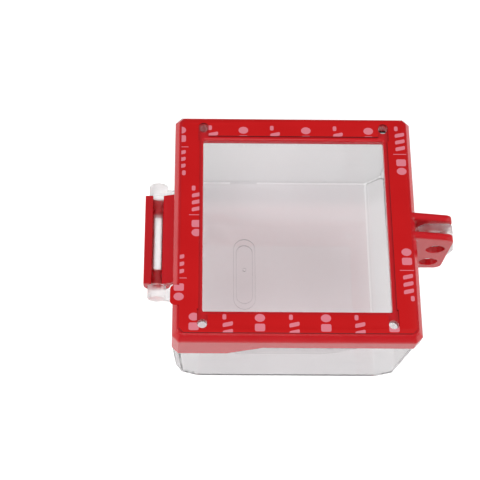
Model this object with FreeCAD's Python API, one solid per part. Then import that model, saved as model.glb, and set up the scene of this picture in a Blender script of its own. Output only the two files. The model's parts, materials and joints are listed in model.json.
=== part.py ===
# Flip-up protective cover for a wall push button: a red frame that sticks or screws to the
# wall, a clear lid on a snap hinge at its left, and a two-eared hasp for a padlock at its right.
# The part lies on its lid: lid front on z = 0, mounting side up, +X towards the hasp.
# Every length is in millimetres.
import FreeCAD, Part
import math
import os

# main sizes
window_size = 89.7        # square window, clears an 86 mm button plate
strip_width = 14.15       # from the window to the sharp rim
cover_height = 74.2       # lid front to the top of the release film
corner_cut = 3.15         # 45 degree cut on every upright corner

# mounting side of the frame
plate_thick = 3.8
rim_drop = 4.2            # mounting face down to the sharp rim
rim_run = 2.5             # how far the sloping rim runs out
rim_round = 0.5
window_round = 1.3        # rounding of the window's upper edge
hole_dia = 4.5            # four screw holes on the middle lines of two strips

# foam tape and release film
tape_thick = 1.0
liner_thick = 0.2
tape_setback = 3.25       # tape's outer edge to the rim
tape_inset = 1.8          # tape's inner edge to the window
tape_corner = 2.2
notch_clearance = 0.25    # keyhole notch round each screw hole
pull_reach = 4.35         # how far the film's pull tab stands out of the tape
pull_width = 9.9
pull_offset = 37.45       # pull tab's middle, towards -Y
pull_round = 2.0

# skirt of the frame
skirt_thick = 2.0
shallow_skirt = 8.5       # rim to skirt edge, hasp side
deep_skirt = 18.1         # rim to skirt edge, hinge side
deep_length = 25.8        # deep part, from the hinge side
ramp_length = 17.4        # slope from deep to shallow
skirt_flare = 0.6         # how far the hinge side leans out, down to the skirt's edge

# clear lid
lid_wall = 2.2
lid_step = 0.45           # lid's rim behind the skirt's face
lid_draft = 2.3           # degrees
hinge_step = 0.2          # step at the hinge side
hinge_draft = 1.55        # draft of the wall at the hinge side, degrees
facet_rise = 11.5         # slanted face between front panel and side walls
facet_run = 10.3
seam_gap = 0.3            # between the lid's edge and the skirt
lid_round = 1.0
field_proud = 0.25        # raised field on the near and far wall, at the seam
field_depth = 12.3        # from the seam down
field_length = 44.3       # its lower edge
field_slope = 15.2        # run of its slanted end
field_start = 4.7         # lower corner, from the end of the deep skirt

# finger recess in the front panel, two steps deep
recess_x = -22.3
recess_width = 11.6
recess_length = 40.2
recess_border = 1.4       # at its sides
recess_end_border = 3.4   # at its ends
recess_step = 0.45
gate_radius = 0.9
gate_offset = 2.6

# hinge: a rod on the lid that lies in an open trough of the frame
axis_out = 8.5            # axis to the skirt's face
axis_drop = 2.7           # axis below the deep skirt's edge
rod_radius = 2.2
rod_play = 0.45           # rod to trough
collar_play = 0.15        # thicker rod ends to trough
collar_length = 7.7
trough_wall = 3.95
trough_length = 47.4
trough_lip = 3.5          # trough's top above the axis
trough_round = 0.5
web_rise = 2.0            # how the web to the skirt climbs
floor_window_length = 29.7
floor_window_width = 3.6
floor_window_shift = 0.75 # towards +Y
knuckle_radius = 4.65
knuckle_length = 6.6
knuckle_gap = 0.3         # knuckle to trough
knuckle_edge = 0.7
arm_upper = 2.7           # below the axis
arm_lower = 7.4
mark_radius = 0.9
mark_proud = 0.2

# hasp: two ears on the frame, one tab on the lid
ear_thick = 3.35
ear_reach = 18.6          # skirt's face to the ears' free edge
ear_depth = 42.1          # below the mounting face
ear_corner = 4.2
ear_edge = 0.45
ear_clear = 1.6           # ear's inner edge beside the lid
ear_slope = 4.1           # how far the top falls outwards
ear_sink = 0.2            # ear's root below the mounting face
tab_thick = 4.8
tab_play = 0.9            # tab to each ear
tab_reach = 23.3          # skirt's face to the thumb lip
tab_top = 3.8             # below the mounting face
tab_corner = 3.2
tab_back = 0.7            # tab's top corner behind the ears' free edge
tab_clear = 1.2           # tab to the skirt's face
tab_shoulder = 6.8
tab_edge = 1.1
tab_lip_rise = 13.0       # lip above the ears' lower edge
lip_drop = 4.8
lip_back = 1.3
lock_hole_dia = 9.4
lock_out = 11.3           # upper hole, from the skirt's face
lock_lean = 0.5           # lower hole, further in
lock_down = 16.2          # upper hole, below the mounting face
lock_pitch = 16.9

# worked out from the sizes above
half = window_size / 2.0 + strip_width
face_z = cover_height - liner_thick - tape_thick
rim_z = face_z - rim_drop
shallow_z = rim_z - shallow_skirt
deep_z = rim_z - deep_skirt
ramp_low_x = deep_length - half
ramp_high_x = ramp_low_x + ramp_length
tape_outer = half - tape_setback
tape_inner = window_size / 2.0 + tape_inset
hole_x = window_size / 2.0
hole_y = (tape_outer + tape_inner) / 2.0
axis_x = -half - axis_out
axis_z = deep_z - axis_drop
trough_radius = rod_radius + rod_play
block_radius = trough_radius + trough_wall
ear_out_x = half + ear_reach
ear_low_z = face_z - ear_depth
ear_gap = tab_thick + 2 * tab_play
upper_lock = (half + lock_out, face_z - lock_down)
lower_lock = (upper_lock[0] - lock_lean, upper_lock[1] - lock_pitch)
wide = 4.0 * half + 2.0 * cover_height
slant = 2.0 - math.sqrt(2.0)


def V(x, y, z):
    return FreeCAD.Vector(x, y, z)


def square_wire(half_side, cut, z, hinge_side=None):
    """Square with its corners cut at 45 degrees. Its hinge side can lie at a distance of its own."""
    pts = []
    for sx, sy in ((1, -1), (1, 1), (-1, 1), (-1, -1)):
        reach = half_side if hinge_side is None or sx > 0 else hinge_side
        along = V(sx * (reach - cut), sy * half_side, z)
        across = V(sx * reach, sy * (half_side - cut), z)
        pts += [along, across] if sx * sy < 0 else [across, along]
    return Part.makePolygon(pts + [pts[0]])


def square_block(half_side, cut, z0, z1):
    return Part.Face(square_wire(half_side, cut, z0)).extrude(V(0, 0, z1 - z0))


def tapered(low, high, cut_low, cut_high, z0, z1, hinge_low=None, hinge_high=None):
    """Solid with flat sides between two such squares."""
    wires = [square_wire(low, cut_low, z0, hinge_low), square_wire(high, cut_high, z1, hinge_high)]
    faces = [Part.Face(wire) for wire in wires]
    under, over = [[corner.Point for corner in wire.Vertexes] for wire in wires]
    for i in range(len(under)):
        faces.append(Part.Face(Part.makePolygon([under[i - 1], under[i], over[i], over[i - 1],
                                                 under[i - 1]])))
    return Part.Solid(Part.Shell(faces))


def side_prism(points, y0, y1):
    """A shape drawn in the XZ plane and pulled along Y."""
    pts = [V(x, y0, z) for x, z in points]
    return Part.Face(Part.makePolygon(pts + [pts[0]])).extrude(V(0, y1 - y0, 0))


def side_outline(points, y0, y1):
    """As side_prism, where a point (x, z, radius) gets a round corner of that radius."""
    count = len(points)
    edges = []
    ends = []
    for i, point in enumerate(points):
        here = V(point[0], y0, point[1])
        if len(point) == 2:
            ends.append((here, here))
            continue
        to_last = (V(points[i - 1][0], y0, points[i - 1][1]) - here).normalize()
        to_next = (V(points[(i + 1) % count][0], y0, points[(i + 1) % count][1]) - here).normalize()
        corner = to_last.getAngle(to_next)
        reach = point[2] / math.tan(corner / 2.0)
        first = here + to_last * reach
        last = here + to_next * reach
        inward = (to_last + to_next).normalize()
        middle = here + inward * (point[2] / math.sin(corner / 2.0) - point[2])
        edges.append(Part.Arc(first, middle, last).toShape())
        ends.append((first, last))
    for i in range(count):
        edges.append(Part.makeLine(ends[i - 1][1], ends[i][0]))
    return Part.Face(Part.Wire(Part.__sortEdges__(edges))).extrude(V(0, y1 - y0, 0))


def rod(radius, y0, y1):
    low, high = min(y0, y1), max(y0, y1)
    return Part.makeCylinder(radius, high - low, V(axis_x, low, axis_z), V(0, 1, 0))


def round_outline(shape, radius, keep):
    """Round the edges that lie in the two side faces of a plate, where keep allows."""
    b = shape.BoundBox
    edges = []
    for e in shape.Edges:
        c = e.BoundBox
        flat = c.YMax - c.YMin < 0.001
        side = min(abs(c.YMin - b.YMin), abs(c.YMax - b.YMax)) < 0.001
        if flat and side and keep(c):
            edges.append(e)
    return shape.makeFillet(radius, edges)


def lock_holes():
    """Both padlock holes, long enough for ears and tab."""
    length = ear_gap + 4.0 * ear_thick
    tools = [Part.makeCylinder(lock_hole_dia / 2.0, length, V(x, -length / 2.0, z), V(0, 1, 0))
             for x, z in (upper_lock, lower_lock)]
    return tools[0].fuse(tools[1])


def above_seam(drop):
    """Everything above the line where skirt and lid meet, lowered by drop."""
    pts = [(-wide, deep_z - drop), (ramp_low_x, deep_z - drop), (ramp_high_x, shallow_z - drop),
           (wide, shallow_z - drop), (wide, wide), (-wide, wide)]
    return side_prism(pts, -wide, wide)


def hinge_skirt(z):
    """How far the skirt's hinge side stands out at a height."""
    return half + skirt_flare * (rim_z - z) / deep_skirt


def make_ear(y0):
    """One ear of the hasp: a plate with its two outer corners rounded."""
    root_x = half - rim_run - 1.0
    root_z = face_z - ear_sink
    inner_x = half - skirt_thick / 2.0
    free_x = half + ear_clear
    web_z = (rim_z + face_z - plate_thick) / 2.0
    pts = [(root_x, root_z), (ear_out_x, root_z - ear_slope, ear_corner),
           (ear_out_x, ear_low_z, ear_corner), (free_x, ear_low_z),
           (free_x, shallow_z - ear_clear), (half, shallow_z), (inner_x, shallow_z),
           (inner_x, web_z), (root_x, web_z)]
    ear = side_outline(pts, y0, y0 + ear_thick)
    return round_outline(ear, ear_edge, lambda b: b.XMax > free_x + ear_edge)


def make_trough():
    """Trough open to the mounting side, with a slotted floor, hung on the skirt by a web."""
    y0, y1 = -trough_length / 2.0, trough_length / 2.0
    top_z = axis_z + trough_lip
    left, right = axis_x - block_radius, axis_x + block_radius
    inside = -half + skirt_thick / 2.0
    barrel = rod(block_radius, y0, y1)
    upper = side_prism([(left, axis_z), (right, axis_z), (right, top_z), (left, top_z)], y0, y1)
    web = side_prism([(axis_x + trough_radius, top_z), (right - trough_wall / 2.0, axis_z),
                      (right, axis_z), (-hinge_skirt(deep_z), deep_z), (inside, deep_z),
                      (inside, top_z + web_rise), (-half, top_z + web_rise)], y0, y1)
    body = barrel.fuse(upper)
    body = body.cut(Part.makeBox(2.0 * block_radius, 2.0 * trough_length, wide,
                                 V(left, -trough_length, top_z)))
    edges = [e for e in body.Edges if e.BoundBox.ZMin > top_z - 0.01 and e.BoundBox.XMax < axis_x
             and e.BoundBox.YMax - e.BoundBox.YMin > trough_length / 2.0]
    body = body.makeFillet(trough_round, edges).fuse(web)
    slot = rod(trough_radius, 2 * y0, 2 * y1)
    slot = slot.fuse(Part.makeBox(2.0 * trough_radius, 2.0 * trough_length, wide,
                                  V(axis_x - trough_radius, -trough_length, axis_z)))
    window = Part.makeBox(floor_window_width, floor_window_length, wide,
                          V(axis_x - floor_window_width / 2.0,
                            floor_window_shift - floor_window_length / 2.0, axis_z - wide))
    return body.cut(slot).cut(window)


def make_frame():
    outer = tapered(half, half, corner_cut, corner_cut, deep_z, rim_z, hinge_skirt(deep_z), half)
    outer = outer.fuse(tapered(half, half - rim_run, corner_cut, corner_cut - rim_run * slant,
                               rim_z, face_z))
    outer = outer.makeFillet(rim_round, [e for e in outer.Edges if e.BoundBox.ZMax > deep_z + 1.0])
    bottom_z = deep_z - skirt_thick
    top_z = face_z - plate_thick
    inner = half - skirt_thick
    cut = corner_cut - skirt_thick * slant
    body = outer.cut(tapered(inner, inner, cut, cut, bottom_z, top_z,
                             hinge_skirt(bottom_z) - skirt_thick, hinge_skirt(top_z) - skirt_thick))
    body = body.cut(square_block(window_size / 2.0, rim_round, 0.0, wide))
    body = body.cut(side_prism([(ramp_low_x, -wide), (ramp_low_x, deep_z), (ramp_high_x, shallow_z),
                                (wide, shallow_z), (wide, -wide)], -wide, wide))
    reach = window_size / 2.0 + 0.01
    edges = []
    for e in body.Edges:
        b = e.BoundBox
        inner = max(abs(b.XMin), abs(b.XMax), abs(b.YMin), abs(b.YMax)) < reach
        if inner and abs(b.ZMin - face_z) < 0.01 and abs(b.ZMax - face_z) < 0.01:
            edges.append(e)
    body = body.makeFillet(window_round, edges).fuse(make_trough())
    for y0 in (ear_gap / 2.0, -ear_gap / 2.0 - ear_thick):
        body = body.fuse(make_ear(y0))
    body = body.cut(lock_holes())
    for sx in (-1, 1):
        for sy in (-1, 1):
            body = body.cut(Part.makeCylinder(hole_dia / 2.0, 2.0 * plate_thick,
                                              V(sx * hole_x, sy * hole_y, face_z - 1.5 * plate_thick)))
    return body.removeSplitter()


def lid_half(z):
    """Half width over the lid's drafted walls."""
    return half - lid_step - (shallow_z - z) * math.tan(math.radians(lid_draft))


def lid_hinge(z):
    """How far the lid's wall at the hinge side stands out at a height."""
    return hinge_skirt(deep_z) - hinge_step - (deep_z - z) * math.tan(math.radians(hinge_draft))


def lid_form(inset, z0):
    """The lid's outside pulled in by inset, from z0 up past the rim."""
    z1 = face_z
    cut = corner_cut - inset * slant
    form = tapered(lid_half(z0) - inset, lid_half(z1) - inset, cut, cut, z0, z1,
                   lid_hinge(z0) - inset, lid_hinge(z1) - inset)
    lean = math.atan2(facet_rise, facet_run)
    tall = 2.0 * facet_rise
    run = tall / math.tan(lean)
    for s, reach in ((-1, lid_hinge(facet_rise)), (1, lid_half(facet_rise))):
        foot = reach - facet_run - inset / math.sin(lean)
        pts = [(s * (foot - run), -tall), (s * (foot + run), tall), (s * wide, tall), (s * wide, -tall)]
        form = form.cut(side_prism(pts, -wide, wide))
    return form


def racetrack(width, length, z0, z1):
    r = width / 2.0
    straight = length / 2.0 - r
    body = Part.makeBox(width, 2 * straight, z1 - z0, V(recess_x - r, -straight, z0))
    for s in (-1, 1):
        body = body.fuse(Part.makeCylinder(r, z1 - z0, V(recess_x, s * straight, z0)))
    return body


def make_tab():
    """Clear tab that closes between the two ears, with a thumb lip at its free end."""
    y0 = -tab_thick / 2.0
    root_x = lid_half(ear_low_z) - lid_wall / 2.0
    step_x = half + tab_clear
    top_z = face_z - tab_top
    lip_z = ear_low_z + tab_lip_rise
    lip_x = half + tab_reach
    under_x = lip_x - lip_back - lip_drop
    seam_z = shallow_z - seam_gap
    pts = [(root_x, ear_low_z + tab_edge), (under_x, ear_low_z, tab_corner),
           (lip_x - lip_back, lip_z - lip_drop, tab_corner), (lip_x, lip_z),
           (ear_out_x - tab_back, top_z, tab_corner), (step_x, top_z, tab_shoulder),
           (step_x, seam_z), (root_x, seam_z)]
    tab = side_outline(pts, y0, y0 + tab_thick)
    return round_outline(tab, tab_edge, lambda b: b.XMax > step_x + tab_edge)


def make_hinge_rod():
    """Rod with thicker ends, two knuckles and the arms that carry them."""
    end = trough_length / 2.0 + knuckle_gap
    wall = lid_wall / 2.0 - lid_hinge(axis_z)
    body = rod(rod_radius, -end, end)
    for s in (-1, 1):
        tip = s * (end + knuckle_length)
        body = body.fuse(rod(trough_radius - collar_play, s * (end - collar_length), tip))
        knuckle = rod(knuckle_radius, s * end, tip)
        rims = [e for e in knuckle.Edges if abs(e.BoundBox.YMin - tip) < 0.01
                and abs(e.BoundBox.YMax - tip) < 0.01]
        arm = side_prism([(axis_x, axis_z - knuckle_radius), (wall, axis_z - arm_lower),
                          (wall, axis_z - arm_upper), (axis_x, axis_z - arm_upper)],
                         min(s * end, tip - s * knuckle_edge), max(s * end, tip - s * knuckle_edge))
        body = body.fuse(knuckle.makeFillet(knuckle_edge, rims)).fuse(arm)
    mark = Part.makeCylinder(mark_radius, rod_radius + mark_proud, V(axis_x, 0, axis_z))
    return body.fuse(mark)


def make_raised_field(side):
    """Slightly raised field on a side wall, under the skirt."""
    low_z = shallow_z - field_depth
    start = ramp_low_x + field_start
    pts = [(start, low_z), (start + field_length, low_z),
           (start + field_length + field_slope, shallow_z), (ramp_low_x, shallow_z)]
    deep = side * (lid_half(low_z) - lid_wall / 2.0)
    beyond = side * (half + field_proud)
    return side_prism(pts, min(deep, beyond), max(deep, beyond)).common(lid_form(-field_proud, 0.0))


def make_lid():
    outer = lid_form(0.0, 0.0)
    outer = outer.makeFillet(lid_round, [e for e in outer.Edges if e.BoundBox.ZMin < face_z - 0.01])
    body = outer.cut(lid_form(lid_wall, lid_wall))
    for side in (-1, 1):
        body = body.fuse(make_raised_field(side))
    body = body.cut(above_seam(seam_gap))
    body = body.fuse(make_tab()).fuse(make_hinge_rod()).cut(lock_holes())
    floor_z = lid_wall - 2.0 * recess_step
    body = body.cut(racetrack(recess_width, recess_length, lid_wall - recess_step, lid_wall + 1.0))
    body = body.cut(racetrack(recess_width - 2 * recess_border, recess_length - 2 * recess_end_border,
                              floor_z, lid_wall + 1.0))
    gate = Part.makeCylinder(gate_radius, recess_step, V(recess_x, gate_offset, floor_z))
    return body.fuse(gate).removeSplitter()


def adhesive_ring(z0, z1):
    """Square ring with a keyhole notch at each screw hole."""
    ring = square_block(tape_outer, tape_corner, z0, z1)
    ring = ring.cut(square_block(tape_inner, rim_round, z0 - 1.0, z1 + 1.0))
    r = hole_dia / 2.0 + notch_clearance
    tall = z1 - z0 + 2.0
    for sx in (-1, 1):
        for sy in (-1, 1):
            pin = Part.makeCylinder(r, tall, V(sx * hole_x, sy * hole_y, z0 - 1.0))
            y0 = tape_inner - r
            way = Part.makeBox(2 * r, hole_y - y0, tall,
                               V(sx * hole_x - r, min(sy * hole_y, sy * y0), z0 - 1.0))
            ring = ring.cut(pin.fuse(way))
    return ring


def make_liner():
    """Release film on the tape, with its pull tab."""
    z0 = face_z + tape_thick
    length = pull_reach + tape_corner + pull_round
    pull = Part.makeBox(length, pull_width, liner_thick,
                        V(-tape_outer - pull_reach, -pull_offset - pull_width / 2.0, z0))
    corners = [e for e in pull.Edges if e.BoundBox.ZMax - e.BoundBox.ZMin > liner_thick / 2.0]
    return adhesive_ring(z0, z0 + liner_thick).fuse(pull.makeFillet(pull_round, corners)).removeSplitter()


os.makedirs("parts", exist_ok=True)
nodes = {
    "base_frame": make_frame(),
    "clear_lid": make_lid(),
    "foam_tape": adhesive_ring(face_z, face_z + tape_thick),
    "release_liner": make_liner(),
}
for name, shape in nodes.items():
    shape.exportStep("parts/" + name + ".step")
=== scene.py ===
"""Looks of the flip-up push button cover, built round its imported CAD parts.

The part lies on its clear lid, mounting side up. Lengths are in metres, and every piece keeps
its place in its mesh.
"""

import json
import math

import bpy
from bpy.props import FloatProperty, FloatVectorProperty, PointerProperty
from bpy.types import Operator, Panel, PropertyGroup
from mathutils import Matrix, Vector


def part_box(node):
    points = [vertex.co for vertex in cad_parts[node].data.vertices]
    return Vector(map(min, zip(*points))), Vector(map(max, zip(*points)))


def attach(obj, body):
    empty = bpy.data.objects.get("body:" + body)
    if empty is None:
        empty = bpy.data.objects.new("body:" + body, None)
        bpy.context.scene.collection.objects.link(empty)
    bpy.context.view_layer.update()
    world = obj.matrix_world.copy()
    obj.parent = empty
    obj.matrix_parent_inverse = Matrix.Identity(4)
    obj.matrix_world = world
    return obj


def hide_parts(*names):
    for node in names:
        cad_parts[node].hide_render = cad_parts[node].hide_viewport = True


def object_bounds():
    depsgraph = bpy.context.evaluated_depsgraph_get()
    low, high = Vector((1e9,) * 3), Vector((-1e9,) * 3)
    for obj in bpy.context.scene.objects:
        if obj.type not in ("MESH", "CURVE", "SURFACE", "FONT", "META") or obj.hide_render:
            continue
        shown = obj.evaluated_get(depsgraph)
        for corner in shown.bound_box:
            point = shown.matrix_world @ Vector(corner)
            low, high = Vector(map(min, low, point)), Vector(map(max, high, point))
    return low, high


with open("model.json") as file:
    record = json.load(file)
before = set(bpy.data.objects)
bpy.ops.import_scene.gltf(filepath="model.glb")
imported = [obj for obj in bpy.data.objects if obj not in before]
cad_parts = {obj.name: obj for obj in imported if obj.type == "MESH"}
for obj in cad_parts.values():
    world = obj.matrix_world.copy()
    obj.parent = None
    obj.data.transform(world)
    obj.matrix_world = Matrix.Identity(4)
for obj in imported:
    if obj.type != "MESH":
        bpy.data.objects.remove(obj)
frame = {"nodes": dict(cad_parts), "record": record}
cad_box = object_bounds()

bl_info = {
    "name": "Push Button Cover",
    "version": (1, 0, 0),
    "blender": (4, 5, 0),
    "location": "View3D > Sidebar > Button Cover",
    "description": "Builds the looks of a flip-up protective cover for a wall push button",
    "category": "Object",
}

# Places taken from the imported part

FRAME_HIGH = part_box("base_frame")[1]
FILM_LOW, FILM_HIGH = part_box("release_liner")
TAPE_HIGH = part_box("foam_tape")[1]
CAD_HIGH = cad_box[1]


def mount(name):
    """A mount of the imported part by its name."""
    for item in frame["record"]["mounts"]:
        if item["name"] == name:
            return item
    raise RuntimeError("the part has no mount named " + name)


HOLES = mount("screw_holes")["dims"]
HOLE_X = HOLES["spacing_x_mm"] / 2000
HOLE_Y = HOLES["spacing_y_mm"] / 2000
HOLE_RADIUS = HOLES["hole_r_mm"] / 1000
TAPE_INNER = 2 * HOLE_Y - TAPE_HIGH.y

# Where the finishes and the painted light and shade change on the mouldings

RIM_BAND = 0.0062  # the frame's sloping rim reaches this far below its top
# Below this height the pane gets a pink painted bounce light from the red frame.
PANE_TOP = 0.0028  # the lid's front pane ends at this height
# The near and far walls get painted shade, which starts and grows between these two.
WALL_START = 0.022  # the walls' grey starts this far in from the lid's side
WALL_FULL = 0.012  # and is full this far in
# The raised field on the walls is drawn with painted shade.
WALL_SKIN = 0.0022  # the raised field lies within this of the lid's side
FIELD_START = -0.040  # no raised field is drawn further towards the hinge
SATIN_START, SATIN_FULL = 0.0602, 0.0612  # hinge rod and hasp tab, out from the middle

# Shares of the clear plastic's tint: its own cloudiness, and the painted bounce light and painted
# shade on the lid

CLOUD_SHADE = 0.985
# painted light: red light bounced from the frame onto the pane
PANE_BOUNCE_TINT = (0.985, 0.955, 0.955)
# painted shade on the near and far walls
WALL_SHADE = 0.91
# painted shade on the raised field
FIELD_SHADE = 0.64
# painted shade along the finger recess's edges
LINE_SHADE = 0.55
LAMP_THROUGH = (0.90, 0.88, 0.89)  # what the lid lets through of a lamp's light
EDGE_FADE = 0.92  # how far sharp outer edges fade
SATIN_FADE = 0.45  # how far the hinge rod and hasp tab do
SATIN_ROUGHNESS = 0.30  # and how much rougher they are

# Floor, lamps, world and camera

FLOOR_RADIUS = 0.36
FLOOR_DROP = 0.0003
FLOOR_SEEN, FLOOR_MIRRORED, FLOOR_THROUGH = 0.42, 0.10, 0.02  # glow by the kind of ray
ROOM_LOW, ROOM_HIGH = (0.45, 0.10), (0.85, 0.24)  # height and mirrored strength of the room
ROOM_THROUGH, ROOM_SOFT = 0.8, 0.55  # strength seen through the lid and as soft light

# Name, place, size across and power of each lamp.
LAMPS = (
    ("lamp_left", (-1.00, -0.20, 0.62), 0.7, 5.0),
    ("lamp_front", (-0.10, -0.75, 1.00), 0.7, 2.6),
    ("lamp_right", (1.00, -0.10, 0.62), 0.6, 5.0),
)
LAMP_AIM = Vector((0, 0, 0.04))

CAMERA_PLACE = (-0.044448, -0.216900, 0.585823)
CAMERA_RIGHT = (0.99990574, 0.00224593, 0.01354529)
CAMERA_UP = (-0.0071788, 0.92646238, 0.37631892)
CAMERA_BACK = (-0.01170402, -0.37638068, 0.92639117)
CAMERA_SHIFT = (0.0477, -0.0019)

# Release film and its print

TAB_CORNER = 0.002
FILM_EDGE = 0.00005
CUT_MARGIN = 0.001  # cutters reach this far past the film
CUT_DEPTH = 0.003
LINE_REACH, LINE_WIDTH = 1.54, 0.00035  # reach as a share of the mark width
SQUARE_LENGTH, SQUARE_CORNER, SQUARE_Y = 0.0037, 0.0008, -0.0046
DISC_SQUASH, DISC_Y = 0.80, -0.0093
BAR_COUNT, BAR_LENGTH, BAR_CORNER, BAR_LEAN = 3, 0.0020, 0.0006, 0.22
BAR_Y, BAR_PITCH = 0.0032, 0.0037
DOT_WIDTH, DOT_LENGTH, DOT_CORNER, DOT_PLACE = 0.0018, 0.0026, 0.0006, (-0.0016, 0.0142)
REACH_SCALE, REACH_LIFT = 8.0, 0.0004  # thickened copy of the film that trims the print

# Line of each printed group in millimetres, and whether the group is turned end for end.
PRINT_GROUPS = (
    (-40.0, 36.8, False),
    (-9.2, 36.8, False),
    (22.2, 36.8, False),
    (52.9, 37.0, False),
    (-25.0, 40.4, True),
    (6.2, 40.4, True),
    (37.4, 40.4, True),
    (-56.0, 40.2, True),
    (-47.9, 3.6, False),
    (-56.0, -29.0, False),
    (52.7, -24.4, True),
    (-32.9, -62.4, False),
    (-1.8, -62.4, False),
    (28.9, -62.4, False),
    (-48.8, -57.5, True),
    (-17.9, -57.9, True),
    (13.0, -57.9, True),
    (44.8, -57.9, True),
)


# Settings


class CoverSizes(PropertyGroup):
    """Sizes of the pieces that are added to the CAD parts."""

    ink_thick: FloatProperty(
        name="Ink thickness",
        description="How thick the printed marks lie on the release film",
        default=0.00001,
        unit="LENGTH",
    )
    mark_width: FloatProperty(
        name="Mark width",
        description="Width of a printed mark across its row",
        default=0.0048,
        unit="LENGTH",
    )
    film_corner: FloatProperty(
        name="Film corner",
        description="Cut at the film's four outer corners",
        default=0.0022,
        unit="LENGTH",
    )
    keyhole_clearance: FloatProperty(
        name="Keyhole clearance",
        description="From a screw hole to the film's keyhole round it",
        default=0.00025,
        unit="LENGTH",
    )
    tab_width: FloatProperty(
        name="Pull tab width",
        description="Width of the film's pull tab",
        default=0.0099,
        unit="LENGTH",
    )
    tab_y: FloatProperty(
        name="Pull tab place",
        description="Middle of the pull tab along the hinge axis",
        default=-0.03745,
        unit="LENGTH",
    )
    rim_softness: FloatProperty(
        name="Rim softness",
        description="How far round its edges the frame's sloping rim catches the light softly",
        default=0.0024,
        unit="LENGTH",
    )
    edge_softness: FloatProperty(
        name="Edge softness",
        description="The same on every other moulded edge",
        default=0.0004,
        unit="LENGTH",
    )
    recess_sides: FloatVectorProperty(
        name="Recess sides",
        description="Where the finger recess in the lid's front starts and ends across the lid",
        size=2,
        default=(-0.030, -0.015),
        unit="LENGTH",
    )
    field_low: FloatProperty(
        name="Raised field height",
        description="Height of the lower edge of the raised field on the lid's walls",
        default=0.048,
        unit="LENGTH",
    )
    field_end: FloatProperty(
        name="Raised field end",
        description="End of that lower edge, towards the hasp",
        default=0.0158,
        unit="LENGTH",
    )
    field_slope: FloatProperty(
        name="Raised field slope",
        description="Run of the field's slanted end for each unit of height",
        default=1.236,
    )
    grain: FloatProperty(
        name="Plastic grain",
        description="Size of the faint waviness in the moulded red surface",
        default=0.004,
        unit="LENGTH",
    )
    lens: FloatProperty(
        name="Lens",
        description="Focal length of the camera on a 36 mm sensor, in millimetres",
        default=86.33,
    )


class CoverColours(PropertyGroup):
    """Colours of the finishes, as linear red, green and blue."""

    red_plastic: FloatVectorProperty(
        name="Red plastic",
        description="Moulded frame with its ears and hinge trough",
        subtype="COLOR",
        size=3,
        default=(0.560, 0.007, 0.013),
    )
    clear_plastic: FloatVectorProperty(
        name="Clear plastic",
        description="Tint of the lid",
        subtype="COLOR",
        size=3,
        default=(0.950, 0.945, 0.950),
    )
    film: FloatVectorProperty(
        name="Release film",
        description="Red film over the tape",
        subtype="COLOR",
        size=3,
        default=(0.540, 0.0045, 0.0060),
    )
    ink: FloatVectorProperty(
        name="Ink",
        description="Pale print on the release film",
        subtype="COLOR",
        size=3,
        default=(0.700, 0.200, 0.250),
    )
    foam: FloatVectorProperty(
        name="Foam tape",
        description="Edge of the foam tape under the film",
        subtype="COLOR",
        size=3,
        default=(0.230, 0.006, 0.010),
    )
    floor: FloatVectorProperty(
        name="Floor",
        description="Floor and backdrop",
        subtype="COLOR",
        size=3,
        default=(0.860, 0.860, 0.860),
    )


def sizes():
    """The sizes kept in the scene."""
    return bpy.context.scene.cover_sizes


def colours():
    """The colours kept in the scene."""
    return bpy.context.scene.cover_colours


# Node helpers


def add(tree, kind, place=(0, 0), **settings):
    """A node of one kind at a place in its tree, with settings of its own."""
    node = tree.nodes.new(kind)
    node.location = place
    for key, value in settings.items():
        setattr(node, key, value)
    return node


def group_tree(name, inputs, outputs):
    """An empty shader group with named sockets. Each is a name, a socket type and a default."""
    tree = bpy.data.node_groups.new(name, "ShaderNodeTree")
    for label, kind, default in inputs:
        socket = tree.interface.new_socket(name=label, in_out="INPUT", socket_type=kind)
        socket.default_value = default
    for label, kind in outputs:
        tree.interface.new_socket(name=label, in_out="OUTPUT", socket_type=kind)
    start = add(tree, "NodeGroupInput", (-900, 0))
    end = add(tree, "NodeGroupOutput", (900, 0))
    return tree, start.outputs, end.inputs


def place_group(tree, group, place, **values):
    """A group placed in a tree, with values for its sockets, spaces written as underscores."""
    node = add(tree, "ShaderNodeGroup", place, node_tree=group)
    for key, value in values.items():
        node.inputs[key.replace("_", " ")].default_value = value
    return node


def maths(tree, operation, a, b=None, place=(0, 0), clamp=False):
    """Result of a Math node, whose inputs are sockets or numbers."""
    node = add(tree, "ShaderNodeMath", place, operation=operation, use_clamp=clamp)
    for socket, value in zip(node.inputs, (a, b)):
        if value is None:
            continue
        if isinstance(value, (int, float)):
            socket.default_value = value
        else:
            tree.links.new(value, socket)
    return node.outputs[0]


def between(tree, value, low, high, place=(0, 0)):
    """1 where a value lies between two limits, else 0."""
    over = maths(tree, "GREATER_THAN", value, low, place)
    under = maths(tree, "LESS_THAN", value, high, (place[0], place[1] - 150))
    return maths(tree, "MULTIPLY", over, under, (place[0] + 200, place[1]))


def ramp(tree, value, start, end, place=(0, 0), kind="SMOOTHSTEP"):
    """A value mapped between two points, each a place on it and the result there."""
    node = add(tree, "ShaderNodeMapRange", place, interpolation_type=kind)
    node.inputs["From Min"].default_value, node.inputs["To Min"].default_value = start
    node.inputs["From Max"].default_value, node.inputs["To Max"].default_value = end
    tree.links.new(value, node.inputs["Value"])
    return node.outputs["Result"]


def mix_colour(tree, factor, a, b, place=(0, 0)):
    """Mixes two colours, each a socket or a plain colour, by a socket or a number."""
    node = add(tree, "ShaderNodeMix", place, data_type="RGBA")
    sockets = [s for s in node.inputs if s.enabled]
    for socket, value in zip(sockets, (factor, a, b)):
        if isinstance(value, bpy.types.NodeSocket):
            tree.links.new(value, socket)
        elif isinstance(value, (int, float)):
            socket.default_value = value
        else:
            socket.default_value = (value[0], value[1], value[2], 1.0)
    return [s for s in node.outputs if s.enabled][0]


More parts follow.
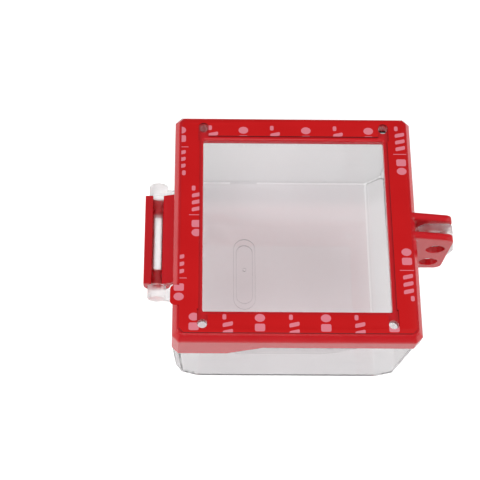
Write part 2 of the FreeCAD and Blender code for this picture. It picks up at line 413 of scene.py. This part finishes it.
def add_bump(tree, shader, height, strength, distance):
    """A Bump node that feeds a shader's normal."""
    bump = add(tree, "ShaderNodeBump", (200, -200))
    bump.inputs["Strength"].default_value = strength
    bump.inputs["Distance"].default_value = distance
    tree.links.new(height, bump.inputs["Height"])
    tree.links.new(bump.outputs["Normal"], shader.inputs["Normal"])
    return bump


def add_noise(tree, vector, place, detail):
    """A Noise texture node on a vector."""
    node = add(tree, "ShaderNodeTexNoise", place)
    node.inputs["Detail"].default_value = detail
    tree.links.new(vector, node.inputs["Vector"])
    return node


def shade(colour, share):
    """A colour made darker or lighter by a share."""
    return [c * share for c in colour]


# Shader groups


def moulded_surface():
    """Faint waviness and cloudiness of a moulded plastic surface."""
    name = "moulded_surface"
    if name in bpy.data.node_groups:
        return bpy.data.node_groups[name]
    tree, start, end = group_tree(
        name,
        [
            ("Vector", "NodeSocketVector", (0, 0, 0)),
            ("Wave Size", "NodeSocketFloat", 0.004),
            ("Gloss", "NodeSocketFloat", 0.2),
            ("Gloss Change", "NodeSocketFloat", 0.08),
        ],
        [
            ("Height", "NodeSocketFloat"),
            ("Roughness", "NodeSocketFloat"),
            ("Cloud", "NodeSocketFloat"),
        ],
    )
    wave = add_noise(tree, start["Vector"], (-400, 200), 1.5)
    scale = maths(tree, "DIVIDE", 1.0, start["Wave Size"], (-600, 200))
    tree.links.new(scale, wave.inputs["Scale"])
    cloud = add_noise(tree, start["Vector"], (-400, -100), 3.0)
    cloud.inputs["Scale"].default_value = 55.0
    fine = add_noise(tree, start["Vector"], (-400, -400), 2.0)
    fine.inputs["Scale"].default_value = 1400.0
    tree.links.new(wave.outputs["Fac"], end["Height"])
    change = maths(tree, "SUBTRACT", cloud.outputs["Fac"], 0.5, (0, -100))
    speck = maths(tree, "SUBTRACT", fine.outputs["Fac"], 0.5, (0, -400))
    both = maths(tree, "ADD", change, speck, (200, -250))
    part = maths(tree, "MULTIPLY", both, start["Gloss Change"], (400, -250))
    rough = maths(tree, "ADD", part, start["Gloss"], (600, -250), clamp=True)
    tree.links.new(rough, end["Roughness"])
    tree.links.new(cloud.outputs["Fac"], end["Cloud"])
    return tree


def worn_edges():
    """Mask of sharp edges, from how far a bevelled normal leans away from the true one. It places
    painted highlight and painted shade along edges.
    """
    name = "worn_edges"
    if name in bpy.data.node_groups:
        return bpy.data.node_groups[name]
    tree, start, end = group_tree(
        name,
        [("Radius", "NodeSocketFloat", 0.0005), ("Amount", "NodeSocketFloat", 1.0)],
        [("Mask", "NodeSocketFloat")],
    )
    bevel = add(tree, "ShaderNodeBevel", (-400, 100), samples=4)
    tree.links.new(start["Radius"], bevel.inputs["Radius"])
    true = add(tree, "ShaderNodeNewGeometry", (-400, -100))
    dot = add(tree, "ShaderNodeVectorMath", (-200, 0), operation="DOT_PRODUCT")
    tree.links.new(bevel.outputs["Normal"], dot.inputs[0])
    tree.links.new(true.outputs["True Normal"], dot.inputs[1])
    lean = maths(tree, "SUBTRACT", 1.0, dot.outputs["Value"], (0, 0))
    mask = maths(tree, "MULTIPLY", lean, start["Amount"], (200, 0), clamp=True)
    tree.links.new(mask, end["Mask"])
    return tree


def soft_rim():
    """Normal that is rounded widely on the frame's sloping rim and narrowly everywhere else."""
    name = "soft_rim"
    if name in bpy.data.node_groups:
        return bpy.data.node_groups[name]
    tree, start, end = group_tree(
        name,
        [
            ("Vector", "NodeSocketVector", (0, 0, 0)),
            ("Rim Height", "NodeSocketFloat", 0.068),
            ("Rim Side", "NodeSocketFloat", 0.055),
            ("Narrow", "NodeSocketFloat", 0.0004),
            ("Wide", "NodeSocketFloat", 0.0024),
        ],
        [("Normal", "NodeSocketVector")],
    )
    split = add(tree, "ShaderNodeSeparateXYZ", (-700, 100))
    tree.links.new(start["Vector"], split.inputs["Vector"])
    across = maths(tree, "ABSOLUTE", split.outputs["X"], None, (-500, 250))
    along = maths(tree, "ABSOLUTE", split.outputs["Y"], None, (-500, 50))
    side = maths(tree, "MAXIMUM", across, along, (-300, 150))
    outer = maths(tree, "GREATER_THAN", side, start["Rim Side"], (-100, 150))
    high = maths(tree, "GREATER_THAN", split.outputs["Z"], start["Rim Height"], (-300, -100))
    rim = maths(tree, "MULTIPLY", outer, high, (100, 50))
    more = maths(tree, "SUBTRACT", start["Wide"], start["Narrow"], (100, -150))
    more = maths(tree, "MULTIPLY", more, rim, (300, -50))
    radius = maths(tree, "ADD", more, start["Narrow"], (450, -50))
    bevel = add(tree, "ShaderNodeBevel", (600, 0), samples=6)
    tree.links.new(radius, bevel.inputs["Radius"])
    tree.links.new(bevel.outputs["Normal"], end["Normal"])
    return tree


# Finishes


def new_material(name):
    """A material with an empty tree but for its output and one Principled shader."""
    mat = bpy.data.materials.new(name)
    mat.use_nodes = True
    tree = mat.node_tree
    tree.nodes.clear()
    out = add(tree, "ShaderNodeOutputMaterial", (900, 0))
    shader = add(tree, "ShaderNodeBsdfPrincipled", (500, 0))
    tree.links.new(shader.outputs["BSDF"], out.inputs["Surface"])
    return mat, tree, shader, out


def add_skin(tree, at, wave_size, gloss, gloss_change):
    """The moulded surface group on object coordinates."""
    skin = place_group(
        tree,
        moulded_surface(),
        (-600, 0),
        Wave_Size=wave_size,
        Gloss=gloss,
        Gloss_Change=gloss_change,
    )
    tree.links.new(at.outputs["Object"], skin.inputs["Vector"])
    return skin


def dress(node_name, mat):
    """Puts a material on every slot of a CAD node."""
    obj = frame["nodes"][node_name]
    if not obj.material_slots:
        raise RuntimeError("the CAD node " + node_name + " has no material slot")
    for slot in obj.material_slots:
        slot.material = mat


def red_plastic_material():
    """Red moulded plastic with a painted highlight along its sharp edges and a softly lit rim."""
    mat, tree, shader, _ = new_material("red_moulded_plastic")
    at = add(tree, "ShaderNodeTexCoord", (-900, 0))
    skin = add_skin(tree, at, sizes().grain, 0.14, 0.06)
    base = colours().red_plastic
    light = [c * 1.10 + 0.002 for c in base]
    body = mix_colour(tree, skin.outputs["Cloud"], shade(base, 0.93), light, (-200, 200))
    # Painted highlight: the frame's sharp edges are made a paler red.
    edge = place_group(tree, worn_edges(), (-600, -300), Radius=0.0005, Amount=0.9)
    edge_highlight = [min(1.0, c * 1.25 + 0.03) for c in base]
    colour = mix_colour(tree, edge.outputs["Mask"], body, edge_highlight, (100, 200))
    tree.links.new(colour, shader.inputs["Base Color"])
    tree.links.new(skin.outputs["Roughness"], shader.inputs["Roughness"])
    bump = add_bump(tree, shader, skin.outputs["Height"], 0.12, 0.0002)
    soft = place_group(
        tree,
        soft_rim(),
        (-200, -400),
        Rim_Height=FRAME_HIGH.z - RIM_BAND,
        Rim_Side=TAPE_HIGH.x,
        Narrow=sizes().edge_softness,
        Wide=sizes().rim_softness,
    )
    tree.links.new(at.outputs["Object"], soft.inputs["Vector"])
    tree.links.new(soft.outputs["Normal"], bump.inputs["Normal"])
    shader.inputs["IOR"].default_value = 1.50
    return mat


def field_mask(tree, x, y, z):
    """The slightly raised field on the near and far wall, with its slanted end, where painted
    shade is put.
    """
    wall = maths(tree, "ABSOLUTE", y, None, (-1100, 600))
    wall = maths(tree, "GREATER_THAN", wall, CAD_HIGH.y - WALL_SKIN, (-900, 600))
    high = maths(tree, "GREATER_THAN", z, sizes().field_low, (-900, 450))
    rise = maths(tree, "SUBTRACT", z, sizes().field_low, (-1100, 300))
    end = maths(tree, "MULTIPLY", rise, sizes().field_slope, (-900, 300))
    end = maths(tree, "ADD", end, sizes().field_end, (-700, 300))
    inside = maths(tree, "LESS_THAN", x, end, (-500, 300))
    start = maths(tree, "GREATER_THAN", x, FIELD_START, (-500, 150))
    mask = maths(tree, "MULTIPLY", wall, high, (-500, 500))
    mask = maths(tree, "MULTIPLY", mask, inside, (-300, 450))
    return maths(tree, "MULTIPLY", mask, start, (-150, 400))


def clear_body(tree, skin, x, y, z):
    """Tint of the lid, with painted light and shade: a pink painted bounce light from the red
    frame on its pane, and painted shade on its near and far walls and raised field.
    """
    tint = colours().clear_plastic
    body = mix_colour(tree, skin.outputs["Cloud"], shade(tint, CLOUD_SHADE), tint, (-350, 200))
    # Painted light: the pane is tinted pink for red light bounced from the frame.
    pane = maths(tree, "LESS_THAN", z, PANE_TOP, (-600, 450))
    pink = [c * share for c, share in zip(tint, PANE_BOUNCE_TINT)]
    body = mix_colour(tree, pane, body, pink, (-300, 300))
    # Painted shade: the near and far walls are darkened towards the lid's side.
    side = maths(tree, "ABSOLUTE", y, None, (-800, 300))
    start, full = (CAD_HIGH.y - WALL_START, 0.0), (CAD_HIGH.y - WALL_FULL, 1.0)
    wall = ramp(tree, side, start, full, (-600, 300))
    body = mix_colour(tree, wall, body, shade(tint, WALL_SHADE), (-200, 200))
    # Painted shade: the raised field is darkened so that it shows.
    field = field_mask(tree, x, y, z)
    return mix_colour(tree, field, body, shade(tint, FIELD_SHADE), (-50, 200))


def clear_plastic_material():
    """Clear moulded plastic that lets the lamps through to what lies behind it."""
    mat, tree, shader, out = new_material("clear_moulded_plastic")
    at = add(tree, "ShaderNodeTexCoord", (-1500, 0))
    split = add(tree, "ShaderNodeSeparateXYZ", (-1300, -600))
    tree.links.new(at.outputs["Object"], split.inputs["Vector"])
    x, y, z = split.outputs["X"], split.outputs["Y"], split.outputs["Z"]
    skin = add_skin(tree, at, 0.009, 0.03, 0.03)
    body = clear_body(tree, skin, x, y, z)

    # The finger recess gets painted shade as dark outlines along its edges.
    edge = place_group(tree, worn_edges(), (-600, -300), Radius=0.0007, Amount=2.5)
    recess = between(tree, x, *sizes().recess_sides, (-900, -300))
    line = maths(tree, "MULTIPLY", edge.outputs["Mask"], recess, (-300, -300))
    grey = shade(colours().clear_plastic, LINE_SHADE)
    tree.links.new(mix_colour(tree, line, body, grey, (100, 200)), shader.inputs["Base Color"])

    # Every other sharp edge fades, and so do the hinge rod and the hasp tab.
    rim = place_group(tree, worn_edges(), (-600, -450), Radius=0.0016, Amount=35.0)
    outline = maths(tree, "SUBTRACT", rim.outputs["Mask"], recess, (-300, -450), True)
    out_x = maths(tree, "ABSOLUTE", x, None, (-700, -600))
    satin = ramp(tree, out_x, (SATIN_START, 0.0), (SATIN_FULL, 1.0), (-500, -600), "LINEAR")
    fade = maths(tree, "MULTIPLY", outline, EDGE_FADE, (-100, -450))
    thin = maths(tree, "MULTIPLY", satin, SATIN_FADE, (-100, -550))
    fade = maths(tree, "MAXIMUM", fade, thin, (50, -450))
    tree.links.new(maths(tree, "SUBTRACT", 1.0, fade, (200, -450)), shader.inputs["Alpha"])
    rougher = maths(tree, "MULTIPLY", satin, SATIN_ROUGHNESS, (-100, -700))
    rough = maths(tree, "ADD", skin.outputs["Roughness"], rougher, (100, -600), clamp=True)
    tree.links.new(rough, shader.inputs["Roughness"])
    add_bump(tree, shader, skin.outputs["Height"], 0.05, 0.0002)
    shader.inputs["Transmission Weight"].default_value = 1.0
    shader.inputs["IOR"].default_value = 1.45

    clear = add(tree, "ShaderNodeBsdfTransparent", (500, 250))
    clear.inputs["Color"].default_value = (*LAMP_THROUGH, 1.0)
    path = add(tree, "ShaderNodeLightPath", (500, 550))
    mix = add(tree, "ShaderNodeMixShader", (750, 100))
    tree.links.new(path.outputs["Is Shadow Ray"], mix.inputs[0])
    tree.links.new(shader.outputs["BSDF"], mix.inputs[1])
    tree.links.new(clear.outputs["BSDF"], mix.inputs[2])
    tree.links.new(mix.outputs[0], out.inputs["Surface"])
    return mat


def foam_material():
    """Closed foam with fine cells."""
    mat, tree, shader, _ = new_material("foam_tape_edge")
    at = add(tree, "ShaderNodeTexCoord", (-900, 0))
    cells = add(tree, "ShaderNodeTexVoronoi", (-600, 100))
    cells.inputs["Scale"].default_value = 3800.0
    tree.links.new(at.outputs["Object"], cells.inputs["Vector"])
    base = colours().foam
    body = mix_colour(tree, cells.outputs["Distance"], shade(base, 0.55), base, (-200, 100))
    tree.links.new(body, shader.inputs["Base Color"])
    rough = maths(tree, "MULTIPLY", cells.outputs["Distance"], 0.2, (-200, -100))
    rough = maths(tree, "ADD", rough, 0.7, (0, -100), clamp=True)
    tree.links.new(rough, shader.inputs["Roughness"])
    add_bump(tree, shader, cells.outputs["Distance"], 0.35, 0.0001)
    return mat


def film_material(name, colour, gloss):
    """Thin film that lies a little wavy on the tape."""
    mat, tree, shader, _ = new_material(name)
    at = add(tree, "ShaderNodeTexCoord", (-900, 0))
    skin = add_skin(tree, at, 0.012, gloss, 0.12)
    light = [min(1.0, c * 1.08 + 0.002) for c in colour]
    body = mix_colour(tree, skin.outputs["Cloud"], shade(colour, 0.94), light, (-200, 200))
    tree.links.new(body, shader.inputs["Base Color"])
    tree.links.new(skin.outputs["Roughness"], shader.inputs["Roughness"])
    add_bump(tree, shader, skin.outputs["Height"], 0.25, 0.0005)
    shader.inputs["Specular IOR Level"].default_value = 0.15
    return mat


# Mesh helpers


def clear_selection():
    """Leaves edit mode and selects nothing."""
    if bpy.context.mode != "OBJECT":
        bpy.ops.object.mode_set(mode="OBJECT")
    bpy.ops.object.select_all(action="DESELECT")


def alone(obj):
    """Selects one object only and makes it active."""
    clear_selection()
    obj.select_set(True)
    bpy.context.view_layer.objects.active = obj


def settle(obj):
    """Moves an object's place into its mesh, so that the object sits at the origin."""
    alone(obj)
    bpy.ops.object.transform_apply(location=True, rotation=True, scale=True)
    return obj


def shift(obj, x, y, z=0.0):
    """Moves a mesh and leaves its object at the origin."""
    obj.data.transform(Matrix.Translation((x, y, z)))


def combine(obj, other, operation):
    """Cuts, joins or intersects two shapes and deletes the second."""
    alone(obj)
    mod = obj.modifiers.new(operation.lower(), "BOOLEAN")
    mod.operation = operation
    mod.solver = "EXACT"
    mod.object = other
    bpy.ops.object.modifier_apply(modifier=mod.name)
    bpy.data.objects.remove(other, do_unlink=True)


def join(objects, name):
    """Makes several objects one, with a name of its own."""
    clear_selection()
    for obj in objects:
        obj.select_set(True)
    bpy.context.view_layer.objects.active = objects[0]
    bpy.ops.object.join()
    joined = bpy.context.view_layer.objects.active
    joined.name = name
    joined.data.name = name
    return joined


def twin_of(obj):
    """A copy of an object with a mesh of its own."""
    twin = obj.copy()
    twin.data = obj.data.copy()
    bpy.context.collection.objects.link(twin)
    return twin


def thicken(obj, height, corner=0.0, steps=1):
    """Raises a flat face to a plate, after its corners are cut or rounded."""
    bpy.ops.object.mode_set(mode="EDIT")
    if corner:
        bpy.ops.mesh.select_all(action="SELECT")
        bpy.ops.mesh.bevel(offset=corner, segments=steps, affect="VERTICES")
    bpy.ops.mesh.select_all(action="SELECT")
    bpy.ops.mesh.extrude_region_move(TRANSFORM_OT_translate={"value": (0, 0, height)})
    bpy.ops.mesh.select_all(action="SELECT")
    bpy.ops.mesh.normals_make_consistent(inside=False)
    bpy.ops.object.mode_set(mode="OBJECT")


def slab(name, width, length, low, high, corner=0.0, steps=1):
    """A flat plate about the Z axis, whose four upright corners are cut or rounded."""
    clear_selection()
    bpy.ops.mesh.primitive_plane_add(size=1.0, location=(0, 0, low))
    plate = bpy.context.view_layer.objects.active
    plate.name = name
    plate.scale = (width, length, 1.0)
    settle(plate)
    thicken(plate, high - low, corner, steps)
    return plate


# CAD part finishes


class COVER_OT_frame_finish(Operator):
    """Moulded red plastic on the frame with its ears and hinge trough"""

    bl_idname = "cover.frame_finish"
    bl_label = "Frame finish"

    def execute(self, context):
        dress("base_frame", red_plastic_material())
        return {"FINISHED"}


class COVER_OT_lid_finish(Operator):
    """Clear moulded plastic on the lid with its tab and hinge rod"""

    bl_idname = "cover.lid_finish"
    bl_label = "Lid finish"

    def execute(self, context):
        dress("clear_lid", clear_plastic_material())
        return {"FINISHED"}


class COVER_OT_tape_finish(Operator):
    """Foam on the adhesive tape"""

    bl_idname = "cover.tape_finish"
    bl_label = "Tape finish"

    def execute(self, context):
        dress("foam_tape", foam_material())
        return {"FINISHED"}


# Release film and its print


class COVER_OT_release_film(Operator):
    """Red film over the tape, with a keyhole at each screw and a pull tab"""

    bl_idname = "cover.release_film"
    bl_label = "Release film"

    def execute(self, context):
        low, high = FILM_LOW.z, FILM_HIGH.z - sizes().ink_thick
        half = TAPE_HIGH.x
        film = slab("release_film", 2 * half, 2 * half, low, high, sizes().film_corner)
        inner = 2 * TAPE_INNER
        window = slab("window_cut", inner, inner, low - CUT_MARGIN, high + CUT_MARGIN)
        combine(film, window, "DIFFERENCE")
        for sx in (-1, 1):
            for sy in (-1, 1):
                self.keyhole(film, sx, sy, low, high)
        self.add_pull_tab(film, half, low, high)
        alone(film)
        mod = film.modifiers.new("soft_edge", "BEVEL")
        mod.width = FILM_EDGE
        mod.segments = 2
        mod.limit_method = "ANGLE"
        bpy.ops.object.modifier_apply(modifier=mod.name)
        bpy.ops.object.shade_smooth_by_angle(angle=math.radians(35))
        film.data.materials.clear()
        film.data.materials.append(film_material("release_film", colours().film, 0.42))
        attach(film, "frame")
        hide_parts("release_liner")
        return {"FINISHED"}

    def keyhole(self, film, sx, sy, low, high):
        """Cuts the film round one screw hole and from there to its inner edge."""
        radius = HOLE_RADIUS + sizes().keyhole_clearance
        clear_selection()
        bpy.ops.mesh.primitive_cylinder_add(
            vertices=48,
            radius=radius,
            depth=CUT_DEPTH,
            location=(sx * HOLE_X, sy * HOLE_Y, (low + high) / 2),
        )
        combine(film, settle(bpy.context.view_layer.objects.active), "DIFFERENCE")
        reach = HOLE_Y - TAPE_INNER + radius
        way = slab("keyhole_way", 2 * radius, reach, low - CUT_MARGIN, high + CUT_MARGIN)
        middle = (HOLE_Y + TAPE_INNER - radius) / 2
        shift(way, sx * HOLE_X, sy * middle)
        combine(film, way, "DIFFERENCE")

    def add_pull_tab(self, film, half, low, high):
        """Joins the rounded pull tab to the film's hinge side."""
        length = -2 * (FILM_LOW.x + half)
        tab = slab("pull_tab", length, sizes().tab_width, low, high, TAB_CORNER, 5)
        shift(tab, FILM_LOW.x + length / 2, sizes().tab_y)
        combine(film, tab, "UNION")


class COVER_OT_film_print(Operator):
    """Pale ink on the film: rows of plain discs, squares, bars and dots, cut off at its edges"""

    bl_idname = "cover.film_print"
    bl_label = "Film print"

    def execute(self, context):
        low = FILM_HIGH.z - sizes().ink_thick
        high = FILM_HIGH.z
        group = self.group(low, high)
        copies = []
        for x, y, turned in PRINT_GROUPS:
            twin = twin_of(group)
            turn = Matrix.Rotation(math.pi if turned else 0.0, 4, "Z")
            twin.data.transform(Matrix.Translation((x / 1000, y / 1000, 0)) @ turn)
            copies.append(twin)
        bpy.data.objects.remove(group, do_unlink=True)
        ink = join(copies, "film_print")
        reach = twin_of(bpy.data.objects["release_film"])
        shift(reach, 0, 0, -low)
        reach.data.transform(Matrix.Scale(REACH_SCALE, 4, (0, 0, 1)))
        shift(reach, 0, 0, low + REACH_LIFT)
        combine(ink, reach, "INTERSECT")
        ink.data.materials.clear()
        ink.data.materials.append(film_material("film_ink", colours().ink, 0.5))
        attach(ink, "frame")
        return {"FINISHED"}

    def group(self, low, high):
        """One group round its line: dot, three slanted bars, line, square, disc."""
        width = sizes().mark_width
        line = slab("line", width * LINE_REACH, LINE_WIDTH, low, high)
        square = slab("square", width, SQUARE_LENGTH, low, high, SQUARE_CORNER, 3)
        shift(square, 0, SQUARE_Y)
        parts = [line, square, self.disc(width, low, high)]
        lean = Matrix.Identity(4)
        lean[1][0] = BAR_LEAN
        for step in range(BAR_COUNT):
            bar = slab("bar", width, BAR_LENGTH, low, high, BAR_CORNER, 2)
            bar.data.transform(lean)
            shift(bar, 0, BAR_Y + step * BAR_PITCH)
            parts.append(bar)
        dot = slab("dot", DOT_WIDTH, DOT_LENGTH, low, high, DOT_CORNER, 2)
        shift(dot, *DOT_PLACE)
        parts.append(dot)
        return join(parts, "print_group")

    def disc(self, width, low, high):
        """A slightly flattened disc of the print."""
        clear_selection()
        bpy.ops.mesh.primitive_circle_add(
            vertices=40, radius=width / 2, fill_type="NGON", location=(0, 0, low)
        )
        disc = bpy.context.view_layer.objects.active
        disc.scale = (1.0, DISC_SQUASH, 1.0)
        settle(disc)
        thicken(disc, high - low)
        shift(disc, 0, DISC_Y)
        return disc


# Stage


def mirrored(tree, path, place):
    """1 on rays that mirror a surface, and 0 on those that pass through the clear lid."""
    glossy, through = path.outputs["Is Glossy Ray"], path.outputs["Is Transmission Ray"]
    return maths(tree, "SUBTRACT", glossy, through, place, True)


class COVER_OT_stage(Operator):
    """Floor, soft lamps, world and camera"""

    bl_idname = "cover.stage"
    bl_label = "Stage"

    def execute(self, context):
        clear_selection()
        bpy.ops.mesh.primitive_circle_add(
            vertices=128, radius=FLOOR_RADIUS, fill_type="NGON", location=(0, 0, -FLOOR_DROP)
        )
        floor = bpy.context.view_layer.objects.active
        floor.name = "floor"
        settle(floor)
        floor.data.materials.append(self.floor_material())
        context.scene.view_settings.view_transform = "Standard"
        self.lamps()
        self.world(context)
        self.camera(context)
        return {"FINISHED"}

    def floor_material(self):
        """White floor that keeps the shadow and glows by the kind of ray that meets it."""
        mat, tree, shader, out = new_material("white_floor")
        shader.inputs["Base Color"].default_value = (*colours().floor, 1.0)
        shader.inputs["Roughness"].default_value = 0.9
        shader.inputs["Specular IOR Level"].default_value = 0.0
        glow = add(tree, "ShaderNodeEmission", (500, -300))
        path = add(tree, "ShaderNodeLightPath", (-600, -300))
        mirror = mirrored(tree, path, (-400, -300))
        mirror = maths(tree, "MULTIPLY", mirror, FLOOR_MIRRORED, (-200, -300))
        seen = maths(tree, "MULTIPLY", path.outputs["Is Camera Ray"], FLOOR_SEEN, (-200, -150))
        seen = maths(tree, "MAXIMUM", seen, mirror, (0, -300))
        through = path.outputs["Is Transmission Ray"]
        through = maths(tree, "MULTIPLY", through, FLOOR_THROUGH, (150, -450))
        strength = maths(tree, "MAXIMUM", seen, through, (300, -300))
        tree.links.new(strength, glow.inputs["Strength"])
        both = add(tree, "ShaderNodeAddShader", (750, -100))
        tree.links.new(shader.outputs["BSDF"], both.inputs[0])
        tree.links.new(glow.outputs["Emission"], both.inputs[1])
        tree.links.new(both.outputs[0], out.inputs["Surface"])
        return mat

    def lamps(self):
        """Round soft lamps that face the cover."""
        for name, place, size, power in LAMPS:
            clear_selection()
            bpy.ops.object.light_add(type="AREA", location=place)
            lamp = bpy.context.view_layer.objects.active
            lamp.name = name
            lamp.data.shape = "DISK"
            lamp.data.size = size
            lamp.data.energy = power
            aim = LAMP_AIM - Vector(place)
            lamp.rotation_euler = aim.to_track_quat("-Z", "Y").to_euler()

    def world(self, context):
        """White room, dimmer where it is mirrored and towards the floor."""
        world = bpy.data.worlds.new("white_room")
        context.scene.world = world
        world.use_nodes = True
        tree = world.node_tree
        tree.nodes.clear()
        out = add(tree, "ShaderNodeOutputWorld", (600, 0))
        back = add(tree, "ShaderNodeBackground", (300, 0))
        back.inputs["Color"].default_value = (1.0, 1.0, 1.0, 1.0)
        at = add(tree, "ShaderNodeTexCoord", (-900, -200))
        split = add(tree, "ShaderNodeSeparateXYZ", (-700, -200))
        tree.links.new(at.outputs["Generated"], split.inputs["Vector"])
        wall = ramp(tree, split.outputs["Z"], ROOM_LOW, ROOM_HIGH, (-500, -200))
        path = add(tree, "ShaderNodeLightPath", (-500, 200))
        mirror = maths(tree, "MULTIPLY", mirrored(tree, path, (-300, 0)), wall, (-150, 0))
        through = path.outputs["Is Transmission Ray"]
        through = maths(tree, "MULTIPLY", through, ROOM_THROUGH, (-150, 150))
        soft = maths(tree, "MULTIPLY", path.outputs["Is Diffuse Ray"], ROOM_SOFT, (-150, -150))
        level = maths(tree, "ADD", mirror, through, (0, 100))
        level = maths(tree, "ADD", level, soft, (50, 0))
        level = maths(tree, "ADD", level, path.outputs["Is Camera Ray"], (150, 0))
        tree.links.new(level, back.inputs["Strength"])
        tree.links.new(back.outputs["Background"], out.inputs["Surface"])

    def camera(self, context):
        """The camera solved from the photograph."""
        data = bpy.data.cameras.new("photo_camera")
        cam = bpy.data.objects.new("photo_camera", data)
        context.collection.objects.link(cam)
        data.sensor_width = 36.0
        data.lens = sizes().lens
        data.shift_x, data.shift_y = CAMERA_SHIFT
        data.clip_start = 0.05
        data.clip_end = 20.0
        turn = Matrix((CAMERA_RIGHT, CAMERA_UP, CAMERA_BACK)).transposed().to_4x4()
        cam.matrix_world = Matrix.Translation(CAMERA_PLACE) @ turn
        context.scene.camera = cam


# Running

STEPS = (
    COVER_OT_frame_finish,
    COVER_OT_lid_finish,
    COVER_OT_tape_finish,
    COVER_OT_release_film,
    COVER_OT_film_print,
    COVER_OT_stage,
)


class COVER_PT_panel(Panel):
    """Lists the steps that build the looks"""

    bl_idname = "COVER_PT_panel"
    bl_label = "Button Cover"
    bl_space_type = "VIEW_3D"
    bl_region_type = "UI"
    bl_category = "Button Cover"

    def draw(self, context):
        for step in STEPS:
            self.layout.operator(step.bl_idname)


CLASSES = (CoverSizes, CoverColours, *STEPS, COVER_PT_panel)


def register():
    """Registers the add-on and puts its settings in the scene."""
    for cls in CLASSES:
        bpy.utils.register_class(cls)
    bpy.types.Scene.cover_sizes = PointerProperty(type=CoverSizes)
    bpy.types.Scene.cover_colours = PointerProperty(type=CoverColours)


def unregister():
    """Takes the settings and the add-on out again."""
    del bpy.types.Scene.cover_colours
    del bpy.types.Scene.cover_sizes
    for cls in reversed(CLASSES):
        bpy.utils.unregister_class(cls)


def main():
    register()
    bpy.ops.cover.frame_finish()
    bpy.ops.cover.lid_finish()
    bpy.ops.cover.tape_finish()
    bpy.ops.cover.release_film()
    bpy.ops.cover.film_print()
    bpy.ops.cover.stage()
    clear_selection()


if __name__ == "__main__":
    main()
